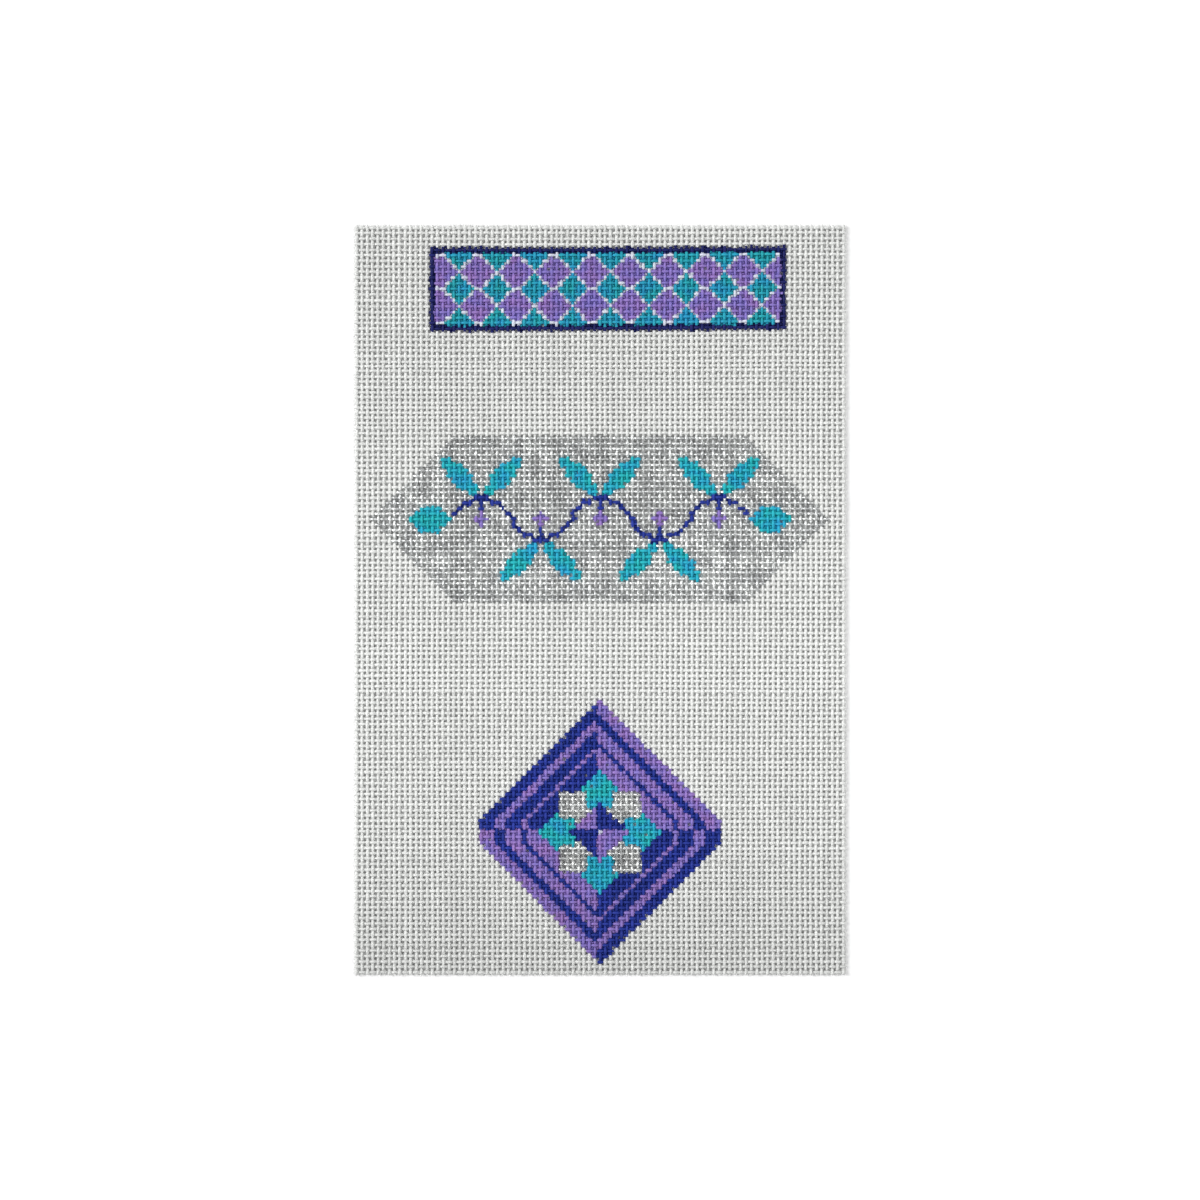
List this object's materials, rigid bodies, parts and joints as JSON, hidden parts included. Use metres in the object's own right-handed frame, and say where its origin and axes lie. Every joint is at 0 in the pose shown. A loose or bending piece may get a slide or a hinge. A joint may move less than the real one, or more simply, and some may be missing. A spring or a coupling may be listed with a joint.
{
  "type": "painted needlepoint canvas panel",
  "caption": "Flat rectangular sheet of open even-weave canvas, painted with a lozenge band and two motifs as a guide for stitching.",
  "frame": {"origin": "middle of the back face, which lies on the surface", "axes": "+X to the right of the painted face, +Y to its top edge with the lozenge band, +Z out of the painted face"},
  "size_m": [0.1284, 0.1958, 0.0012],
  "materials": {
    "canvas": "sized cotton threads in plain weave, hand painted in matt acrylic with some metallic silver"
  },
  "bodies": {
    "root": {"canvas": "canvas"}
  },
  "joints": []
}
